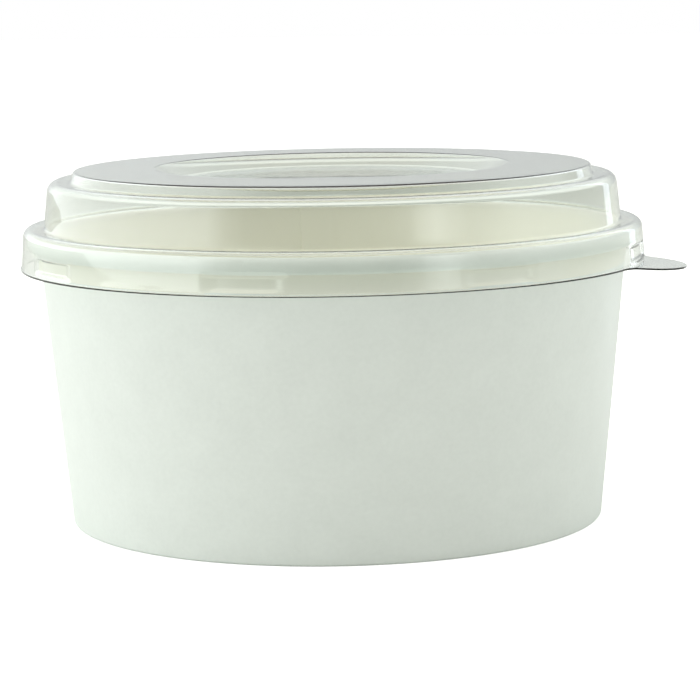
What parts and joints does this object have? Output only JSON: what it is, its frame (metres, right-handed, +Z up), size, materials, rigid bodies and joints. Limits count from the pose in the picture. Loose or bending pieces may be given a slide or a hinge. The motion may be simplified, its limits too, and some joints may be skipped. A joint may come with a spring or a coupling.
{
  "type": "takeaway salad bowl",
  "caption": "Round white paper salad bowl with a rolled rim and a recessed base, closed by a clear stepped plastic lid with a pull tab.",
  "frame": {"origin": "on the table, under the middle of the whole object's box; the bowl's own axis stands at x = -5.35 mm because the pull tab counts in the box", "axes": "+Z up along the bowl's axis; +X towards the lid's pull tab; +Y to its left, seen from above"},
  "size_m": [0.1634, 0.1528, 0.0864],
  "materials": {
    "wall_paper": "white paperboard with a smooth, slightly glossy waterproof coating",
    "base_paper": "white paperboard, coated inside and plain underneath",
    "lid_plastic": "clear thermoformed plastic sheet, glossy, with a faint green tint at its edges"
  },
  "bodies": {
    "root": {"bowl_wall": "wall_paper", "bowl_base": "base_paper", "lid": "lid_plastic"}
  },
  "joints": []
}
